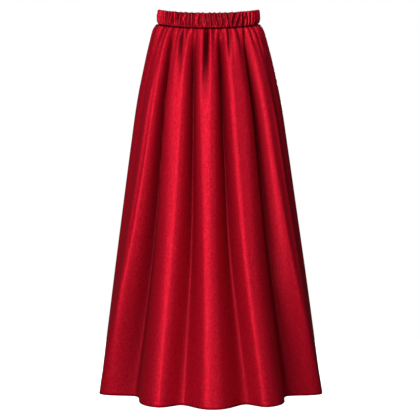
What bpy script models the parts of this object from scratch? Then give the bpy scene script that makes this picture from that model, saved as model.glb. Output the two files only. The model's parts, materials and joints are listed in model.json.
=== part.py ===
# Long gathered satin skirt, filled out: front panel, back panel and waistband.
# Metres, +Z up, the front faces -Y. The origin is the centre of the waist opening.
# Every point of the cloth comes from two numbers: its turn round the body, in degrees
# from the front centre, and its drop, 0 at the waistband seam and 1 at the hem.

from collections import namedtuple
import math

import bmesh
import bpy

# Driving dimensions, in metres.
LENGTH = 0.970
SIDE_RIM_Z = 0.0185
HEM_Z = SIDE_RIM_Z - LENGTH
BAND_HEIGHT_SIDE = 0.037
BAND_HEIGHT_FRONT = 0.040
RIM_DIP_FRONT = 0.025
RIM_DIP_BACK = 0.004
HEM_SHIFT_X = 0.0065
CLOTH_WALL = 0.0020
BAND_WALL = 0.0028
SEAM_GAP = 0.0003

# Gathers: how many go round, how far they stand out, and how soon they fade below the seam.
BAND_GATHERS = 56
BAND_GATHER_HEIGHT = 0.0016
SKIRT_GATHERS = 40
SKIRT_GATHER_HEIGHT = 0.0036
GATHER_FADE_DROP = 0.065
POINTS_PER_GATHER = 4

# The folds are pinched to nothing at the seam and open out over this share of the drop.
FOLD_OPENING_DROP = 0.032

# A ridge is broader than the valley beside it: as the power in its profile, at the hem and
# by how much more just below the band, where it also falls away in a sharper pinch.
RIDGE_BREADTH_HEM = 1.1
RIDGE_BREADTH_GAIN = 2.0
RIDGE_BREADTH_FADE = 2.5
PINCH_SHARPNESS = 0.4
PINCH_FADE = 1.5

# The ring that the ridges touch: half its width, its depth in front of the side seams and
# its depth behind them.
Section = namedtuple("Section", "drop half_width front_depth back_depth")
SECTIONS = [
    Section(0.000, 0.128, 0.096, 0.096),
    Section(0.015, 0.139, 0.101, 0.104),
    Section(0.05, 0.151, 0.110, 0.118),
    Section(0.11, 0.166, 0.124, 0.137),
    Section(0.22, 0.187, 0.145, 0.164),
    Section(0.34, 0.203, 0.164, 0.182),
    Section(0.55, 0.2295, 0.198, 0.211),
    Section(0.78, 0.2585, 0.236, 0.242),
    Section(1.00, 0.2855, 0.272, 0.270),
]

# Main folds in order round the body. A row has its turn in degrees at the band, hip, thigh
# and hem, and how far it lies inside the ring, in millimetres, at the hip, thigh and hem.
FOLD_DROPS = (0.0, 0.18, 0.52, 1.0)
Fold = namedtuple("Fold", "band hip thigh hem hip_inset thigh_inset hem_inset")
FOLDS = [
    Fold(-88, -87, -86, -97, 2, 2, 2),
    Fold(-70, -67, -70, -86, 9, 7, 3),
    Fold(-51, -49, -55, -76, 0, 0, 0),
    Fold(-43, -44, -47, -58, 38, 52, 70),
    Fold(-29, -26, -24, -26, 0, 0, 0),
    Fold(-16, -14, -13, -16.5, 36, 44, 46),
    Fold(-2, -2, -1, 1, 0, 0, 0),
    Fold(12, 12, 13, 20, 37, 45, 50),
    Fold(22, 21, 22, 28, 0, 0, 0),
    Fold(38, 43, 48, 59, 38, 51, 70),
    Fold(57, 51, 55, 76, 0, 0, 0),
    Fold(68, 68, 72, 86, 9, 8, 3),
    Fold(88, 87, 88, 97, 2, 2, 2),
    Fold(103, 102, 103, 107, 28, 40, 44),
    Fold(118, 117, 119, 118, 0, 0, 0),
    Fold(132, 133, 132, 135, 34, 46, 55),
    Fold(148, 149, 149, 151, 0, 0, 0),
    Fold(164, 164, 166, 166, 33, 44, 48),
    Fold(181, 180, 181, 178, 0, 0, 0),
    Fold(196, 197, 196, 195, 35, 46, 50),
    Fold(211, 211, 210, 209, 0, 0, 0),
    Fold(227, 226, 227, 226, 33, 44, 54),
    Fold(242, 242, 241, 243, 0, 0, 0),
    Fold(257, 258, 257, 254, 28, 40, 44),
]

# Short creases that split a ridge below the seam (height under 0) or stand up in a valley
# (height over 0). Each fades from the seam to its end drop.
Crease = namedtuple("Crease", "end_drop turn_top turn_end half_turn height")
CREASES = [
    Crease(0.17, -28.5, -25, 2.2, -11),
    Crease(0.25, -1.5, -4.5, 2.4, -13),
    Crease(0.12, 21.5, 18, 2.0, -10),
    Crease(0.06, -55, -55, 2.0, -6),
    Crease(0.07, 50, 51, 2.0, -6),
    Crease(0.12, -16.7, -13, 1.8, 9),
    Crease(0.19, 38, 39, 2.2, 9),
    Crease(0.06, -43.5, -43, 1.6, 6),
    Crease(0.08, 12.5, 12.5, 1.2, 5),
    Crease(0.16, 147, 149, 2.4, -11),
    Crease(0.22, 181, 179, 2.4, -11),
    Crease(0.13, 212, 211, 2.2, -10),
    Crease(0.10, 164, 165, 1.8, 8),
    Crease(0.15, 227, 227, 2.0, 8),
    Crease(0.09, 196, 196, 1.6, 6),
    Crease(0.12, 132, 132, 1.8, 7),
]

# Drops of a panel's rows of points: close together under the seam, where the gathers are.
PANEL_ROWS = (0.0, 0.018, 0.045, 0.09, 0.16, 0.26, 0.39, 0.54, 0.70, 0.86, 1.0)

# The waistband's outer rows, from its seam up: share of its height, metres pulled in.
BandRow = namedtuple("BandRow", "up pulled_in")
BAND_ROWS = (
    BandRow(0.0, 0.0015),
    BandRow(0.14, 0.0),
    BandRow(0.86, 0.0002),
    BandRow(1.0, 0.0012),
)

SATIN_RED = (0.56, 0.006, 0.020, 1.0)


def through(x, xs, ys):
    """Smooth curve through the points (xs, ys) that never swings past them."""
    rises = [(ys[i + 1] - ys[i]) / (xs[i + 1] - xs[i]) for i in range(len(xs) - 1)]
    slopes = [rises[0]]
    for before, after in zip(rises, rises[1:]):
        same_way = before * after > 0
        slopes.append(2 * before * after / (before + after) if same_way else 0.0)
    slopes.append(rises[-1])
    i = 0
    while i < len(xs) - 2 and x > xs[i + 1]:
        i += 1
    step = xs[i + 1] - xs[i]
    t = (x - xs[i]) / step
    start = (1 + 2 * t) * (1 - t) ** 2 * ys[i] + t * (1 - t) ** 2 * step * slopes[i]
    end = t * t * (3 - 2 * t) * ys[i + 1] + t * t * (t - 1) * step * slopes[i + 1]
    return start + end


def ease(t):
    t = min(max(t, 0.0), 1.0)
    return t * t * (3 - 2 * t)


def fold_profile(share, drop):
    """0 on a ridge and 1 in a valley: pinched to a crease near the band, a soft wave at the hem."""
    breadth = RIDGE_BREADTH_HEM + RIDGE_BREADTH_GAIN * (1 - drop) ** RIDGE_BREADTH_FADE
    soft = math.sin(math.pi / 2 * share ** breadth) ** 2
    pinched = share ** (breadth + PINCH_SHARPNESS)
    return soft + (pinched - soft) * (1 - drop) ** PINCH_FADE


def fold_inset(turn, drop):
    """How far the main folds bring the cloth inside the ring, in metres."""
    turns = [through(drop, FOLD_DROPS, fold[:4]) for fold in FOLDS]
    opened = 1 - math.exp(-drop / FOLD_OPENING_DROP)
    insets = [through(drop, FOLD_DROPS[1:], fold[4:]) * opened for fold in FOLDS]
    turns.append(turns[0] + 360)
    insets.append(insets[0])
    turn = turns[0] + (turn - turns[0]) % 360
    i = 0
    while turn > turns[i + 1]:
        i += 1
    share = (turn - turns[i]) / (turns[i + 1] - turns[i])
    if insets[i] < insets[i + 1]:
        weight = fold_profile(share, drop)
    else:
        weight = 1 - fold_profile(1 - share, drop)
    return 0.001 * (insets[i] + (insets[i + 1] - insets[i]) * weight)


def crease_rise(turn, drop):
    """How far the short creases move the cloth outwards, in metres."""
    rise = 0.0
    for crease in CREASES:
        share = drop / crease.end_drop
        if share < 1:
            middle = crease.turn_top + (crease.turn_end - crease.turn_top) * share
            away = (turn - middle + 180) % 360 - 180
            rise += crease.height * (1 - ease(share)) * math.exp(-((away / crease.half_turn) ** 2))
    shown_at_seam = 1 - math.exp(-(drop + 0.012) / 0.02)
    return 0.001 * rise * shown_at_seam


def uneven(share):
    """Uneven spacing of the gathers: nothing at the side seams."""
    wave = 0.005 * math.sin(math.tau * (3 * share + 0.1))
    wave += 0.0025 * math.sin(math.tau * (7 * share + 0.37))
    return wave * math.cos(math.tau * share)


def gather_size(share):
    """Uneven height of the gathers, about 1."""
    return 1 + 0.30 * math.sin(math.tau * 11 * share + 1.0) + 0.20 * math.sin(math.tau * 17 * share + 2.0)


def rim_z(turn):
    facing = math.cos(math.radians(turn))
    if facing > 0:
        return SIDE_RIM_Z - RIM_DIP_FRONT * facing ** 1.2
    return SIDE_RIM_Z - RIM_DIP_BACK * (-facing) ** 1.5


def seam_z(turn):
    facing = max(math.cos(math.radians(turn)), 0.0)
    return rim_z(turn) - BAND_HEIGHT_SIDE - (BAND_HEIGHT_FRONT - BAND_HEIGHT_SIDE) * facing


def ring_point(turn, half_width, depth, out):
    """Point on an elliptic ring and moved out square to it."""
    across = math.sin(math.radians(turn))
    ahead = math.cos(math.radians(turn))
    normal_x = across / half_width
    normal_y = -ahead / depth
    length = math.hypot(normal_x, normal_y)
    x = half_width * across + out * normal_x / length
    y = -depth * ahead + out * normal_y / length
    return x, y


def skirt_out(share, drop):
    """How far a point of the outer surface lies outside the ring."""
    turn = 360 * (share + uneven(share))
    gathers = SKIRT_GATHER_HEIGHT * gather_size(share) * math.cos(math.tau * SKIRT_GATHERS * share)
    faded = math.exp(-((drop / GATHER_FADE_DROP) ** 1.3))
    return crease_rise(turn, drop) - fold_inset(turn, drop) + gathers * faded


def wall_along_normal(slope, wall):
    """Distance along the ring's normal that gives a sloping wall its true thickness."""
    return wall * min(math.hypot(1, slope), 2.4)


def skirt_point(share, drop, inside):
    """Point of a panel, on its outer or its inner surface."""
    turn = 360 * (share + uneven(share))
    half_width = through(drop, [row.drop for row in SECTIONS], [row.half_width for row in SECTIONS])
    front = through(drop, [row.drop for row in SECTIONS], [row.front_depth for row in SECTIONS])
    back = through(drop, [row.drop for row in SECTIONS], [row.back_depth for row in SECTIONS])
    depth = front if abs(share) <= 0.25 else back
    out = skirt_out(share, drop)
    if inside:
        step = 0.004
        arc = math.tau * step * (half_width + depth) / 2
        slope = (skirt_out(share + step / 2, drop) - skirt_out(share - step / 2, drop)) / arc
        out -= wall_along_normal(slope, CLOTH_WALL)
    x, y = ring_point(turn, half_width, depth, out)
    top = seam_z(turn) - SEAM_GAP / 2
    return x + HEM_SHIFT_X * drop, y, top + (HEM_Z - top) * drop


def band_point(share, up, inside):
    """Point of the waistband at a share of its height."""
    turn = 360 * (share + uneven(share))
    waist = SECTIONS[0]
    depth = waist.front_depth if abs(share) <= 0.25 else waist.back_depth
    if inside:
        out = -BAND_WALL
    else:
        gather = BAND_GATHER_HEIGHT * gather_size(share) * math.cos(math.tau * BAND_GATHERS * share)
        pulled_in = through(up, [row.up for row in BAND_ROWS], [row.pulled_in for row in BAND_ROWS])
        out = gather - pulled_in
    x, y = ring_point(turn, waist.half_width, depth, out)
    bottom = seam_z(turn) + SEAM_GAP / 2
    return x, y, bottom + (rim_z(turn) - bottom) * up


def cloth_wall(name, columns, rows, share_start, share_end, place, closed):
    """One closed solid: a grid for the outer surface, a copy of it for the inner one, and
    rims between them. place(share, row, inside) gives a point; rows are the row values."""
    mesh = bmesh.new()
    grid = bmesh.ops.create_grid(mesh, x_segments=columns, y_segments=len(rows) - 1, size=1.0)
    address = {}
    for vert in grid["verts"]:
        column = round((vert.co.x + 1) / 2 * columns)
        row = round((vert.co.y + 1) / 2 * (len(rows) - 1))
        address[vert] = (column, row)
    if closed:
        first = {row: vert for vert, (column, row) in address.items() if column == 0}
        last = [vert for vert, (column, row) in address.items() if column == columns]
        bmesh.ops.weld_verts(mesh, targetmap={vert: first[address[vert][1]] for vert in last})
        address = {vert: cell for vert, cell in address.items() if vert.is_valid}
    bmesh.ops.triangulate(mesh, faces=mesh.faces[:], quad_method="FIXED")
    outer_rim = [edge for edge in mesh.edges if edge.is_boundary]
    copied = bmesh.ops.duplicate(mesh, geom=mesh.verts[:] + mesh.edges[:] + mesh.faces[:])
    inner_of = {vert: copied["vert_map"][vert] for vert in address}
    inner_faces = [item for item in copied["geom"] if isinstance(item, bmesh.types.BMFace)]
    bmesh.ops.reverse_faces(mesh, faces=inner_faces)
    for edge in outer_rim:
        loop = edge.link_loops[0]
        start = loop.vert
        end = loop.link_loop_next.vert
        mesh.faces.new((end, start, inner_of[start], inner_of[end]))
    for vert, (column, row) in address.items():
        share = share_start + (share_end - share_start) * column / columns
        vert.co = place(share, rows[row], False)
        inner_of[vert].co = place(share, rows[row], True)
    data = bpy.data.meshes.new(name)
    mesh.to_mesh(data)
    mesh.free()
    data.shade_smooth()
    data.set_sharp_from_angle(angle=math.radians(60))
    piece = bpy.data.objects.new(name, data)
    bpy.context.scene.collection.objects.link(piece)
    return piece


def at_side_seams(point, front):
    """Keep a panel's own edge half a seam gap from the plane of the side seams."""
    x, y, z = point
    if front:
        return x, min(y, -SEAM_GAP / 2), z
    return x, max(y, SEAM_GAP / 2), z


def front_place(share, drop, inside):
    return at_side_seams(skirt_point(share, drop, inside), True)


def back_place(share, drop, inside):
    return at_side_seams(skirt_point(share, drop, inside), False)


def satin(name, roughness):
    """Plain red satin, a little duller where it is gathered."""
    material = bpy.data.materials.new(name)
    material.use_nodes = True
    shader = material.node_tree.nodes["Principled BSDF"]
    shader.inputs["Base Color"].default_value = SATIN_RED
    shader.inputs["Roughness"].default_value = roughness
    shader.inputs["Metallic"].default_value = 0.0
    return material


def main():
    for old in list(bpy.data.objects):
        bpy.data.objects.remove(old)
    panel_columns = SKIRT_GATHERS // 2 * POINTS_PER_GATHER
    drops_upwards = PANEL_ROWS[::-1]
    front = cloth_wall("front_panel", panel_columns, drops_upwards, -0.25, 0.25, front_place, False)
    back = cloth_wall("back_panel", panel_columns, drops_upwards, 0.25, 0.75, back_place, False)
    band_columns = BAND_GATHERS * POINTS_PER_GATHER
    band_rows = [row.up for row in BAND_ROWS]
    band = cloth_wall("waistband", band_columns, band_rows, -0.5, 0.5, band_point, True)
    for piece, roughness in ((front, 0.45), (back, 0.45), (band, 0.5)):
        piece.data.materials.append(satin(piece.name + "_satin", roughness))


main()
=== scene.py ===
# %% [markdown]
# # A long gathered satin skirt
#
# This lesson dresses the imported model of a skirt: two flared panels of red satin that are
# gathered into an elastic waistband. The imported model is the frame. It says how big the
# cloth is and where it lies, so nothing here is moved or resized to fit.

import json
import math
from collections import namedtuple
from functools import lru_cache

import bmesh
import bpy
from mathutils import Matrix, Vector, noise

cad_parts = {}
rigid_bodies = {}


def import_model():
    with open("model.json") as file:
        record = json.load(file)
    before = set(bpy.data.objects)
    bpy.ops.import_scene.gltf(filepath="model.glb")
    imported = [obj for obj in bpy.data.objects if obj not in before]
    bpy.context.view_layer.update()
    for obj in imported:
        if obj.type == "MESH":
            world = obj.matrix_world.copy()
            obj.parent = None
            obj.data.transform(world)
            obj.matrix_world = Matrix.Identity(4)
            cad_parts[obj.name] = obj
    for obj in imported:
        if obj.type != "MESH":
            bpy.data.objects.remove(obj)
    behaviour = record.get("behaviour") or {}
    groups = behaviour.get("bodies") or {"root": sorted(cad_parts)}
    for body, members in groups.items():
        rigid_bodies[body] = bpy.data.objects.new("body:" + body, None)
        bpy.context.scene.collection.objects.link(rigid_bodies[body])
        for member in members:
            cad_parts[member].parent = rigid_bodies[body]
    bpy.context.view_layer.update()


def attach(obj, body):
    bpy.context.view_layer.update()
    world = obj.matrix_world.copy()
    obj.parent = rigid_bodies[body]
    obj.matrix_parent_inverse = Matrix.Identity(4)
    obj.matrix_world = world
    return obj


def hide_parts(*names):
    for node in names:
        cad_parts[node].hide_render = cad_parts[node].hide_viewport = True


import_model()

# %% [markdown]
# ## The camera
#
# The skirt was photographed from straight in front with a long lens, from a little below
# its middle. That is why the front of the hem hangs lower in the picture than its sides,
# although a real hem is level. The lens follows from how much of the axis plane is seen.

# %% Camera
LENGTH = 0.970
SIDE_RIM_Z = 0.0185
HEM_Z = SIDE_RIM_Z - LENGTH
HEM_SHIFT_X = 0.0065
CAMERA_X = 0.004
CAMERA_DISTANCE = 2.6
CAMERA_ABOVE_HEM = 0.458
SEEN_WIDTH = 1.074
SENSOR_MM = 36

camera_data = bpy.data.cameras.new("camera")
camera_data.sensor_width = SENSOR_MM
camera_data.lens = SENSOR_MM * CAMERA_DISTANCE / SEEN_WIDTH
camera = bpy.data.objects.new("camera", camera_data)
camera.location = (CAMERA_X, -CAMERA_DISTANCE, HEM_Z + CAMERA_ABOVE_HEM)
camera.rotation_euler = (math.radians(90), 0, 0)
bpy.context.scene.collection.objects.link(camera)
bpy.context.scene.camera = camera
print("lens:", round(camera_data.lens, 1), "mm")

# %% [markdown]
# ## The form of the cloth
#
# A sewn panel of cloth that hangs in folds could be simulated, but then the folds fall
# where they like. Here every fold of the real skirt is known, so the cloth is a function
# of two numbers: how far round the body a point is, and how far down. A few sections give
# the ring that the ridges of the folds touch, and a short table says where each fold runs
# and how deep it is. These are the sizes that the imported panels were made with.

# %% Sections and folds
BAND_HEIGHT_SIDE = 0.037
BAND_HEIGHT_FRONT = 0.040
RIM_DIP_FRONT = 0.025
RIM_DIP_BACK = 0.004
SEAM_GAP = 0.0003
FOLD_OPENING_DROP = 0.032
RIDGE_BREADTH_HEM = 1.1
RIDGE_BREADTH_GAIN = 2.0
RIDGE_BREADTH_FADE = 2.5
PINCH_SHARPNESS = 0.4
PINCH_FADE = 1.5

Section = namedtuple("Section", "drop half_width front_depth back_depth")
SECTIONS = [
    Section(0.000, 0.128, 0.096, 0.096),
    Section(0.015, 0.139, 0.101, 0.104),
    Section(0.05, 0.151, 0.110, 0.118),
    Section(0.11, 0.166, 0.124, 0.137),
    Section(0.22, 0.187, 0.145, 0.164),
    Section(0.34, 0.203, 0.164, 0.182),
    Section(0.55, 0.2295, 0.198, 0.211),
    Section(0.78, 0.2585, 0.236, 0.242),
    Section(1.00, 0.2855, 0.272, 0.270),
]

# Turns in degrees at four drops, then millimetres inside the ring at the last three.
FOLD_DROPS = (0.0, 0.18, 0.52, 1.0)
Fold = namedtuple("Fold", "band hip thigh hem hip_inset thigh_inset hem_inset")
FOLDS = [
    Fold(-88, -87, -86, -97, 2, 2, 2),
    Fold(-70, -67, -70, -86, 9, 7, 3),
    Fold(-51, -49, -55, -76, 0, 0, 0),
    Fold(-43, -44, -47, -58, 38, 52, 70),
    Fold(-29, -26, -24, -26, 0, 0, 0),
    Fold(-16, -14, -13, -16.5, 36, 44, 46),
    Fold(-2, -2, -1, 1, 0, 0, 0),
    Fold(12, 12, 13, 20, 37, 45, 50),
    Fold(22, 21, 22, 28, 0, 0, 0),
    Fold(38, 43, 48, 59, 38, 51, 70),
    Fold(57, 51, 55, 76, 0, 0, 0),
    Fold(68, 68, 72, 86, 9, 8, 3),
    Fold(88, 87, 88, 97, 2, 2, 2),
    Fold(103, 102, 103, 107, 28, 40, 44),
    Fold(118, 117, 119, 118, 0, 0, 0),
    Fold(132, 133, 132, 135, 34, 46, 55),
    Fold(148, 149, 149, 151, 0, 0, 0),
    Fold(164, 164, 166, 166, 33, 44, 48),
    Fold(181, 180, 181, 178, 0, 0, 0),
    Fold(196, 197, 196, 195, 35, 46, 50),
    Fold(211, 211, 210, 209, 0, 0, 0),
    Fold(227, 226, 227, 226, 33, 44, 54),
    Fold(242, 242, 241, 243, 0, 0, 0),
    Fold(257, 258, 257, 254, 28, 40, 44),
]


def through(x, xs, ys):
    """Smooth curve through the points (xs, ys) that never swings past them."""
    rises = [(ys[i + 1] - ys[i]) / (xs[i + 1] - xs[i]) for i in range(len(xs) - 1)]
    slopes = [rises[0]]
    for before, after in zip(rises, rises[1:]):
        same_way = before * after > 0
        slopes.append(2 * before * after / (before + after) if same_way else 0.0)
    slopes.append(rises[-1])
    i = 0
    while i < len(xs) - 2 and x > xs[i + 1]:
        i += 1
    step = xs[i + 1] - xs[i]
    t = (x - xs[i]) / step
    start = (1 + 2 * t) * (1 - t) ** 2 * ys[i] + t * (1 - t) ** 2 * step * slopes[i]
    end = t * t * (3 - 2 * t) * ys[i + 1] + t * t * (t - 1) * step * slopes[i + 1]
    return start + end


def ease(t):
    t = min(max(t, 0.0), 1.0)
    return t * t * (3 - 2 * t)


@lru_cache(maxsize=None)
def ring_at(drop):
    """Half width, front depth and back depth of the ring at a drop."""
    drops = [row.drop for row in SECTIONS]
    return tuple(through(drop, drops, [row[i] for row in SECTIONS]) for i in (1, 2, 3))


@lru_cache(maxsize=None)
def folds_at(drop):
    """Turns and insets of the folds at a drop, closed round the body."""
    turns = [through(drop, FOLD_DROPS, fold[:4]) for fold in FOLDS]
    opened = 1 - math.exp(-drop / FOLD_OPENING_DROP)
    insets = [through(drop, FOLD_DROPS[1:], fold[4:]) * opened for fold in FOLDS]
    return turns + [turns[0] + 360], insets + [insets[0]]


def fold_profile(share, drop):
    """0 on a ridge and 1 in a valley: pinched to a crease near the band, a soft wave at the hem."""
    breadth = RIDGE_BREADTH_HEM + RIDGE_BREADTH_GAIN * (1 - drop) ** RIDGE_BREADTH_FADE
    soft = math.sin(math.pi / 2 * share ** breadth) ** 2
    pinched = share ** (breadth + PINCH_SHARPNESS)
    return soft + (pinched - soft) * (1 - drop) ** PINCH_FADE


def fold_inset(turn, drop):
    """How far the main folds bring the cloth inside the ring, in metres."""
    turns, insets = folds_at(drop)
    turn = turns[0] + (turn - turns[0]) % 360
    i = 0
    while turn > turns[i + 1]:
        i += 1
    share = (turn - turns[i]) / (turns[i + 1] - turns[i])
    if insets[i] < insets[i + 1]:
        weight = fold_profile(share, drop)
    else:
        weight = 1 - fold_profile(1 - share, drop)
    return 0.001 * (insets[i] + (insets[i + 1] - insets[i]) * weight)


print("folds round the body:", len(FOLDS) // 2)

# %% [markdown]
# ## Creases
#
# Between the main folds the satin has smaller creases. Most start at the gathers and run
# out within a hand's width, and a few long faint ones follow a flute down. Each is a soft
# trough or ridge of its own length, width and height, listed.

# %% Creases
Crease = namedtuple("Crease", "start_drop end_drop turn_top turn_end half_turn height")
CREASES = [
    Crease(0.00, 0.17, -28.5, -25, 2.2, -11),
    Crease(0.00, 0.25, -1.5, -4.5, 2.4, -13),
    Crease(0.00, 0.12, 21.5, 18, 2.0, -10),
    Crease(0.00, 0.06, -55, -55, 2.0, -6),
    Crease(0.00, 0.07, 50, 51, 2.0, -6),
    Crease(0.00, 0.12, -16.7, -13, 1.8, 9),
    Crease(0.00, 0.19, 38, 39, 2.2, 9),
    Crease(0.00, 0.06, -43.5, -43, 1.6, 6),
    Crease(0.00, 0.08, 12.5, 12.5, 1.2, 5),
    Crease(0.00, 0.16, 147, 149, 2.4, -11),
    Crease(0.00, 0.22, 181, 179, 2.4, -11),
    Crease(0.00, 0.13, 212, 211, 2.2, -10),
    Crease(0.00, 0.10, 164, 165, 1.8, 8),
    Crease(0.00, 0.15, 227, 227, 2.0, 8),
    Crease(0.00, 0.09, 196, 196, 1.6, 6),
    Crease(0.00, 0.12, 132, 132, 1.8, 7),
    Crease(0.05, 0.90, -50, -66, 2.2, 3.0),
    Crease(0.15, 0.90, 58, 68, 2.0, 3.0),
    Crease(0.04, 0.75, 112, 114, 2.2, 2.5),
    Crease(0.06, 0.80, 246, 247, 2.2, 2.5),
]


def crease_rise(turn, drop):
    """How far the creases move the cloth outwards, in metres."""
    rise = 0.0
    for crease in CREASES:
        if crease.start_drop <= drop < crease.end_drop:
            share = (drop - crease.start_drop) / (crease.end_drop - crease.start_drop)
            middle = crease.turn_top + (crease.turn_end - crease.turn_top) * share
            away = (turn - middle + 180) % 360 - 180
            if crease.start_drop == 0:
                shown = 1 - ease(share)
            else:
                shown = ease(5 * share) * ease(2.5 * (1 - share))
            rise += crease.height * shown * math.exp(-((away / crease.half_turn) ** 2))
    return 0.001 * rise * (1 - math.exp(-(drop + 0.012) / 0.02))


print("creases:", len(CREASES))

# %% [markdown]
# ## Gathers
#
# Elastic pulls the cloth into gathers that are never even. Their spacing and height follow
# slow waves round the waist, which are nothing at the side seams so that the two panels
# meet. A gather has a rounded top and a narrow trough, unlike a plain wave, so its profile
# is the size of a cosine with its sharp point a little softened.

# %% Gathers
BAND_GATHERS = 56
SKIRT_GATHERS = 40
SKIRT_GATHER_HEIGHT = 0.0036
GATHER_FADE_DROP = 0.065
GATHER_LEAN = 4.0
PUCKER_HEIGHT = 0.0011
PUCKER_FADE_DROP = 0.018


def uneven(share):
    """Uneven spacing of the gathers: nothing at the side seams."""
    wave = 0.005 * math.sin(math.tau * (3 * share + 0.1))
    wave += 0.0025 * math.sin(math.tau * (7 * share + 0.37))
    return wave * math.cos(math.tau * share)


def gather_size(share):
    """Uneven height of the gathers, about 1."""
    return 1 + 0.30 * math.sin(math.tau * 11 * share + 1.0) + 0.20 * math.sin(math.tau * 17 * share + 2.0)


def gather_profile(turns):
    """Rounded tops and narrow troughs, from -1 to about 1, once for each turn."""
    half = math.cos(math.pi * turns)
    return 2 * math.sqrt(half * half + 0.02) - 1


def gather_rise(share, drop):
    """Gathers and the finer puckers between them, fading below the seam."""
    lean = GATHER_LEAN * drop * noise.noise(Vector((share * 22, drop * 8, 3.1)))
    gathers = SKIRT_GATHER_HEIGHT * gather_size(share) * gather_profile(SKIRT_GATHERS * share + lean)
    puckers = PUCKER_HEIGHT * gather_profile(BAND_GATHERS * share)
    faded_gathers = math.exp(-((drop / GATHER_FADE_DROP) ** 1.3))
    faded_puckers = math.exp(-((drop / PUCKER_FADE_DROP) ** 1.5))
    return gathers * faded_gathers + puckers * faded_puckers


print("gathers in the band:", BAND_GATHERS)

# %% [markdown]
# ## Points of the panels
#
# The pieces above add up to one outward distance from the ring. A faint unevenness is
# added, because cloth is never quite smooth, and a narrow step marks the turned hem.

# %% Skirt point
HEM_TURNING = 0.009
HEM_GROOVE_DEPTH = 0.0006
HEM_GROOVE_HALF = 0.0022

# The faint unevenness, as a share of the distance from the middle.
RIPPLE_SHARE = 0.0024

# How dark the painted shade of the folds is at the hem, the depth in metres of a crease whose
# painted shade is full, and the drop below the seam over which shade is painted on the cloth that it
# tucks in.
HEM_SHADE = 0.26
CREASE_FULL_SHADE = 0.009
SEAM_SHADE_DROP = 0.006


def rim_z(turn):
    facing = math.cos(math.radians(turn))
    if facing > 0:
        return SIDE_RIM_Z - RIM_DIP_FRONT * facing ** 1.2
    return SIDE_RIM_Z - RIM_DIP_BACK * (-facing) ** 1.5


def seam_z(turn):
    facing = max(math.cos(math.radians(turn)), 0.0)
    return rim_z(turn) - BAND_HEIGHT_SIDE - (BAND_HEIGHT_FRONT - BAND_HEIGHT_SIDE) * facing


def ring_point(turn, half_width, depth, out):
    """Point on an elliptic ring, moved out square to it."""
    across = math.sin(math.radians(turn))
    ahead = math.cos(math.radians(turn))
    normal_x = across / half_width
    normal_y = -ahead / depth
    length = math.hypot(normal_x, normal_y)
    return half_width * across + out * normal_x / length, -depth * ahead + out * normal_y / length


def skirt_point(share, drop):
    """Point of the panels' outer surface."""
    turn = 360 * (share + uneven(share))
    half_width, front_depth, back_depth = ring_at(drop)
    depth = front_depth if abs(share) <= 0.25 else back_depth
    out = crease_rise(turn, drop) - fold_inset(turn, drop) + gather_rise(share, drop)
    top = seam_z(turn) - SEAM_GAP / 2
    z = top + (HEM_Z - top) * drop
    from_stitches = (z - HEM_Z - HEM_TURNING) / HEM_GROOVE_HALF
    out -= HEM_GROOVE_DEPTH * math.exp(-from_stitches * from_stitches)
    x, y = ring_point(turn, half_width, depth, out)
    ripple = 1 + RIPPLE_SHARE * ease(drop * 6) * noise.noise(Vector((x * 16, y * 16, z * 5)))
    return Vector((x * ripple + HEM_SHIFT_X * drop, y * ripple, z))


# Shade painted into the colour where the folds, creases, gathers and seam would be dark.
def painted_fold_shade(share, drop):
    """Painted shade: 0 on a ridge, up to 1 at the bottom of a deep fold or between two gathers."""
    turn = 360 * (share + uneven(share))
    deepest = 0.001 * max(folds_at(drop)[1]) + 1e-6
    strength = HEM_SHADE + (1 - HEM_SHADE) * math.sqrt(1 - drop)
    folded = fold_inset(turn, drop) / deepest * strength * (1 - math.exp(-drop / FOLD_OPENING_DROP))
    creased = max(-crease_rise(turn, drop), 0.0) / CREASE_FULL_SHADE
    trough = (1 - gather_profile(SKIRT_GATHERS * share)) / 2
    gathered = trough * trough * math.exp(-((drop / GATHER_FADE_DROP) ** 1.3))
    tucked = ease(1 - drop / SEAM_SHADE_DROP)
    return min(max(folded, creased, gathered, tucked), 1.0)


print("front of the hem:", tuple(round(v, 3) for v in skirt_point(0.0, 1.0)))

# %% [markdown]
# ## Panels
#
# A panel starts as a flat grid of quads, as the cloth does on the cutting table. Each
# point is then moved to its place on the form, and Solidify gives the sheet its thickness.
# The grid also gives the cloth its UV map, in metres along and across the weave.

# %% Panels
PANEL_COLUMNS = 236
PANEL_ROWS = 186
ROW_CROWDING = 1.35
SHEET_THICKNESS = 0.0012
SIDE_TRIM = 0.00006
UV_PANEL_WIDTH = 1.1


def link(name, mesh):
    data = bpy.data.meshes.new(name)
    mesh.to_mesh(data)
    mesh.free()
    data.shade_smooth()
    piece = bpy.data.objects.new(name, data)
    bpy.context.scene.collection.objects.link(piece)
    return piece


def cloth_grid(name, columns, rows, place, shade, uv_size, closed=False):
    """Grid whose points are moved by place(along, up), both from 0 to 1, and given painted shade by
    shade(along, up).
    """
    mesh = bmesh.new()
    shade_layer = mesh.verts.layers.float.new("shade")
    bmesh.ops.create_grid(mesh, x_segments=columns, y_segments=rows, size=0.5, calc_uvs=True)
    uv_layer = mesh.loops.layers.uv.verify()
    for face in mesh.faces:
        for loop in face.loops:
            co = loop.vert.co
            loop[uv_layer].uv = ((co.x + 0.5) * uv_size[0], (co.y + 0.5) * uv_size[1])
    for vert in mesh.verts:
        along = vert.co.x + 0.5
        up = vert.co.y + 0.5
        vert.co = place(along, up)
        vert[shade_layer] = shade(along, up)
    if closed:
        bmesh.ops.remove_doubles(mesh, verts=mesh.verts[:], dist=1e-6)
    return link(name, mesh)


def on_panel(measure, share_start, share_end):
    """measure(share, drop) as a function of the way along and up a panel's grid."""
    def place(along, up):
        drop = (1 - min(max(up, 0.0), 1.0)) ** ROW_CROWDING
        return measure(share_start + (share_end - share_start) * along, round(drop, 6))
    return place


def give_thickness(piece, thickness):
    solidify = piece.modifiers.new("thickness", "SOLIDIFY")
    solidify.thickness = thickness
    solidify.offset = -1
    solidify.use_even_offset = True
    solidify.use_quality_normals = True


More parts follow.
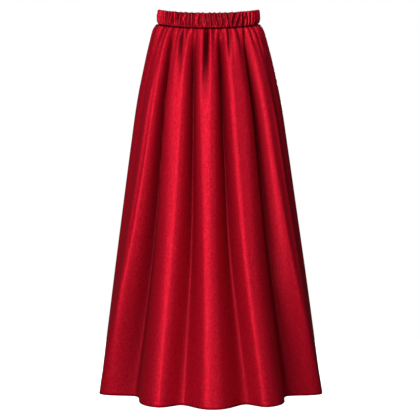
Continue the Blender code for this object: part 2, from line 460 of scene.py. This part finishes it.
def panel(name, share_start, share_end):
    ends = (share_start + SIDE_TRIM, share_end - SIDE_TRIM)
    place = on_panel(skirt_point, *ends)
    shade = on_panel(painted_fold_shade, *ends)
    piece = cloth_grid(name, PANEL_COLUMNS, PANEL_ROWS, place, shade, (UV_PANEL_WIDTH, LENGTH))
    give_thickness(piece, SHEET_THICKNESS)
    return piece


front = panel("front_cloth", -0.25, 0.25)
back = panel("back_cloth", 0.25, 0.75)
print("quads in a panel:", len(front.data.polygons))

# %% [markdown]
# ## Waistband
#
# The casing is one strip folded over elastic, so its gathers are the tightest on the
# skirt. They lean a little, some split on the way up, and the seam below pulls them into
# small puckers. The upper edge is scalloped where each gather turns over.

# %% Waistband
BAND_COLUMNS = BAND_GATHERS * 14
BAND_ROWS = 26
BAND_THICKNESS = 0.0018
BAND_LEAN = 1.3
BAND_SPLIT = 0.45
BAND_INSET = 0.0006
PUCKER_ROW_UP = 0.10
PUCKER_ROW_HALF = 0.07
BAND_RELIEF = 0.0025
BAND_PUCKER = 0.0010
BAND_BULGE = 0.0012
BAND_EDGE_ROLL = 0.0022
SEAM_PULL = 0.0026
SCALLOP = 0.0007
# How dark the painted shade is in the troughs between the band's gathers.
BAND_PAINTED_SHADE = 0.78
UV_BAND_LENGTH = 1.05


def band_wander(share, up, fineness, rise):
    """Smooth random value that closes round the waist."""
    angle = math.tau * share
    return noise.noise(Vector((math.cos(angle) * fineness, math.sin(angle) * fineness, up * rise)))


def band_split(share, up):
    """Finer random value, which makes some gathers fork on the way up."""
    return band_wander(share, up, 14, 1.6)


def band_phase(share, up):
    """Turns of the gathers passed by here: they lean, wander and split."""
    lean = BAND_LEAN * band_wander(share, 0.7, 5, 1)
    return BAND_GATHERS * share + lean * (up - 0.5) + BAND_SPLIT * band_split(share, up)


def band_ridge(share, up):
    """1 on top of a gather of the band and 0 between two."""
    return math.cos(math.pi * band_phase(share, up)) ** 6


def band_pucker(share):
    """The same for the puckers along the seam, which are twice as many."""
    return math.cos(math.tau * BAND_GATHERS * share) ** 2


def near_seam(up):
    """1 along the row of puckers just above the seam, fading above and below it."""
    return math.exp(-((up - PUCKER_ROW_UP) / PUCKER_ROW_HALF) ** 2)


def band_place(along, up):
    """Point of the waistband's outer surface, along and up from 0 to 1."""
    share = along - 0.5
    turn = 360 * (share + uneven(share))
    waist = SECTIONS[0]
    depth = waist.front_depth if abs(share) <= 0.25 else waist.back_depth
    size = 0.75 + 0.5 * gather_size(share) + 0.9 * band_split(share, up)
    ridge = band_ridge(share, up)
    relief = BAND_RELIEF * size * (2 * ridge - 1) * (1 - 0.45 * near_seam(up))
    puckers = BAND_PUCKER * near_seam(up) * (2 * band_pucker(share) - 1)
    bulge = BAND_BULGE * math.sin(math.pi * up) - BAND_INSET
    roll = BAND_EDGE_ROLL * ease((up - 0.93) / 0.07) ** 2
    pull = SEAM_PULL * ease((0.09 - up) / 0.09)
    x, y = ring_point(turn, waist.half_width, depth, relief + puckers + bulge - roll - pull)
    bottom = seam_z(turn) + SEAM_GAP / 2
    top = rim_z(turn) + SCALLOP * (ridge - 0.5)
    return Vector((x, y, bottom + (top - bottom) * up))


def painted_band_shade(along, up):
    """Painted shade: 0 on a gather, 1 in the trough beside it and in the seam's groove."""
    share = along - 0.5
    puckered = 0.8 * near_seam(up)
    lit = band_ridge(share, up) * (1 - puckered) + band_pucker(share) * puckered
    return min(BAND_PAINTED_SHADE * (1 - lit) + ease((0.07 - up) / 0.07), 1.0)


band = cloth_grid("waistband_cloth", BAND_COLUMNS, BAND_ROWS, band_place, painted_band_shade,
                  (UV_BAND_LENGTH, BAND_HEIGHT_FRONT), True)
give_thickness(band, BAND_THICKNESS)
print("quads in the waistband:", len(band.data.polygons))

# %% [markdown]
# ## Satin
#
# Satin has a soft shine of its own colour, so it is a Principled surface that is partly
# metallic and has a little sheen. The crepe back shows through as a fine grain: two noises,
# one a thread or two across and one coarser, vary the colour, the gloss and the bump. Shade
# is painted into the colour: the painted shade stored on the grids darkens the bottoms of
# the folds, where little light gets in.

# %% Material
DEEP_RED = (0.38, 0.0015, 0.009, 1.0)
BRIGHT_RED = (0.66, 0.009, 0.032, 1.0)
# The dark red painted as shade into the bottoms of the folds and the troughs of the gathers.
PAINTED_SHADE_RED = (0.035, 0.0002, 0.001, 1.0)


def satin(name, roughness, bump_strength):
    material = bpy.data.materials.new(name)
    material.use_nodes = True
    nodes = material.node_tree.nodes
    links = material.node_tree.links
    shader = nodes["Principled BSDF"]
    place = nodes.new("ShaderNodeTexCoord")

    grain = nodes.new("ShaderNodeTexNoise")
    grain.inputs["Scale"].default_value = 520
    grain.inputs["Detail"].default_value = 3
    links.new(place.outputs["Object"], grain.inputs["Vector"])

    mottle = nodes.new("ShaderNodeTexNoise")
    mottle.inputs["Scale"].default_value = 210
    mottle.inputs["Detail"].default_value = 2
    links.new(place.outputs["Object"], mottle.inputs["Vector"])

    mixed = nodes.new("ShaderNodeMix")
    mixed.data_type = "FLOAT"
    mixed.inputs["Factor"].default_value = 0.45
    links.new(grain.outputs["Fac"], mixed.inputs["A"])
    links.new(mottle.outputs["Fac"], mixed.inputs["B"])

    colour = nodes.new("ShaderNodeValToRGB")
    colour.color_ramp.elements[0].position = 0.34
    colour.color_ramp.elements[0].color = DEEP_RED
    colour.color_ramp.elements[1].position = 0.66
    colour.color_ramp.elements[1].color = BRIGHT_RED
    links.new(mixed.outputs["Result"], colour.inputs["Fac"])

    # Shade painted into the colour: the stored shade mixes the satin's red towards the dark red of the
    # painted shade.
    shade = nodes.new("ShaderNodeAttribute")
    shade.attribute_name = "shade"
    shaded = nodes.new("ShaderNodeMix")
    shaded.data_type = "RGBA"
    links.new(shade.outputs["Fac"], shaded.inputs["Factor"])
    links.new(colour.outputs["Color"], shaded.inputs["A"])
    shaded.inputs["B"].default_value = PAINTED_SHADE_RED
    links.new(shaded.outputs["Result"], shader.inputs["Base Color"])

    gloss = nodes.new("ShaderNodeMapRange")
    gloss.inputs["From Min"].default_value = 0.35
    gloss.inputs["From Max"].default_value = 0.65
    gloss.inputs["To Min"].default_value = roughness + 0.07
    gloss.inputs["To Max"].default_value = roughness - 0.07
    links.new(mixed.outputs["Result"], gloss.inputs["Value"])
    links.new(gloss.outputs["Result"], shader.inputs["Roughness"])

    weave = nodes.new("ShaderNodeTexWave")
    weave.wave_type = "BANDS"
    weave.bands_direction = "DIAGONAL"
    weave.inputs["Scale"].default_value = 420
    weave.inputs["Distortion"].default_value = 1.5
    links.new(place.outputs["UV"], weave.inputs["Vector"])

    height = nodes.new("ShaderNodeMix")
    height.data_type = "FLOAT"
    height.inputs["Factor"].default_value = 0.3
    links.new(mixed.outputs["Result"], height.inputs["A"])
    links.new(weave.outputs["Fac"], height.inputs["B"])
    bump = nodes.new("ShaderNodeBump")
    bump.inputs["Strength"].default_value = bump_strength
    bump.inputs["Distance"].default_value = 0.0006
    links.new(height.outputs["Result"], bump.inputs["Height"])
    links.new(bump.outputs["Normal"], shader.inputs["Normal"])

    shader.inputs["Metallic"].default_value = 0.35
    shader.inputs["Specular IOR Level"].default_value = 0.15
    shader.inputs["Specular Tint"].default_value = (1.0, 0.3, 0.35, 1.0)
    shader.inputs["Sheen Weight"].default_value = 0.02
    shader.inputs["Sheen Roughness"].default_value = 0.35
    shader.inputs["Sheen Tint"].default_value = (1.0, 0.25, 0.32, 1.0)
    return material


panel_satin = satin("panel_satin", 0.42, 0.55)
band_satin = satin("band_satin", 0.40, 0.45)
front.data.materials.append(panel_satin)
back.data.materials.append(panel_satin)
band.data.materials.append(band_satin)
print("materials:", panel_satin.name, band_satin.name)

# %% [markdown]
# ## Put each piece on the body
#
# Every piece rides on the skirt's one body and stands for the imported node with the same
# form, which is hidden.

for piece, node, slot in (
    (front, "front_panel", "satin_panels"),
    (back, "back_panel", "satin_panels"),
    (band, "waistband", "satin_band"),
):
    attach(piece, "root")
    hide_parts(node)

# %% [markdown]
# ## Stage and light
#
# The skirt stands clear of a plain pale floor, as it does on its wearer. One broad soft
# light from the front, a little to the left, makes the ridges glow and leaves the deep
# folds darker, and shade painted into the satin darkens them further. A small light close
# above the waist picks out the gathers, and a weaker one from the right keeps that side
# from going black. The floor is seen but doesn't light the cloth.

# %% Floor
FLOOR_Z = HEM_Z - 0.09
FLOOR_SIZE = 3.4
floor_mesh = bmesh.new()
bmesh.ops.create_grid(floor_mesh, x_segments=1, y_segments=1, size=FLOOR_SIZE / 2)
bmesh.ops.translate(floor_mesh, verts=floor_mesh.verts[:], vec=(0, 0, FLOOR_Z))
floor = link("floor", floor_mesh)
floor_paint = bpy.data.materials.new("floor_paint")
floor_paint.use_nodes = True
floor_shader = floor_paint.node_tree.nodes["Principled BSDF"]
floor_shader.inputs["Base Color"].default_value = (0.9, 0.9, 0.9, 1)
floor_shader.inputs["Roughness"].default_value = 0.9
floor_shader.inputs["Emission Color"].default_value = (1, 1, 1, 1)
floor_shader.inputs["Emission Strength"].default_value = 1.0
floor.data.materials.append(floor_paint)
floor.visible_diffuse = False
floor.visible_glossy = False

# %% Lights
SKIRT_MIDDLE = Vector((0, 0, -0.45))
WAIST_FRONT = Vector((0, -0.11, -0.12))


def area_light(name, location, aim, width, height, power):
    data = bpy.data.lights.new(name, "AREA")
    data.shape = "RECTANGLE"
    data.size = width
    data.size_y = height
    data.energy = power
    light = bpy.data.objects.new(name, data)
    light.location = location
    light.rotation_euler = (aim - Vector(location)).to_track_quat("-Z", "Y").to_euler()
    bpy.context.scene.collection.objects.link(light)


area_light("key", (-1.2, -2.9, 0.4), SKIRT_MIDDLE, 1.4, 1.4, 88)
area_light("waist", (-0.25, -0.8, 0.45), WAIST_FRONT, 0.5, 0.35, 3.2)
area_light("right_fill", (1.9, -2.6, 0.1), SKIRT_MIDDLE, 1.2, 1.6, 20)
area_light("back", (0.5, 3.4, 0.7), SKIRT_MIDDLE, 0.9, 1.3, 70)

world = bpy.data.worlds.new("studio")
bpy.context.scene.world = world
world.use_nodes = True
backdrop = world.node_tree.nodes["Background"]
seen = world.node_tree.nodes.new("ShaderNodeLightPath")
strength = world.node_tree.nodes.new("ShaderNodeMapRange")
strength.inputs["To Min"].default_value = 0.03
strength.inputs["To Max"].default_value = 1.0
world.node_tree.links.new(seen.outputs["Is Camera Ray"], strength.inputs["Value"])
world.node_tree.links.new(strength.outputs["Result"], backdrop.inputs["Strength"])
backdrop.inputs["Color"].default_value = (1, 1, 1, 1)
bpy.context.scene.view_settings.view_transform = "Standard"
